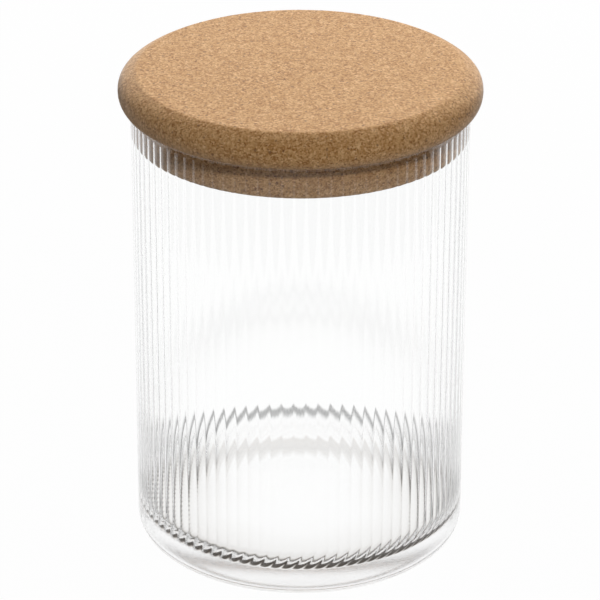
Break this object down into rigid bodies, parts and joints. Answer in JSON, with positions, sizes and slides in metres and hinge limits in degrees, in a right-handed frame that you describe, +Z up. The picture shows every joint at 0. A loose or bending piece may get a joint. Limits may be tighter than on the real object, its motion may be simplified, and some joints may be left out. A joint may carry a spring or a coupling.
{
  "type": "storage jar",
  "caption": "Clear cylindrical storage jar, smooth outside and finely fluted inside, closed by a thick cork lid whose plug lifts straight out of the mouth.",
  "frame": {"origin": "centre of the foot, on the plane that the jar stands on", "axes": "+Z up along the jar's axis, from the foot to the lid; a flute faces -Y, the front"},
  "size_m": [0.107, 0.107, 0.1503],
  "materials": {
    "glass": "clear, fire-polished",
    "cork": "fine agglomerated cork, sanded and bare"
  },
  "bodies": {
    "jar": {"glass_jar": "glass"},
    "lid": {"cork_cap": "cork", "cork_plug": "cork"}
  },
  "joints": [
    {"name": "lid_lift", "type": "slide", "parent": "jar", "child": "lid", "axis": [0, 0, 1], "range_m": [0, 0.11]}
  ]
}
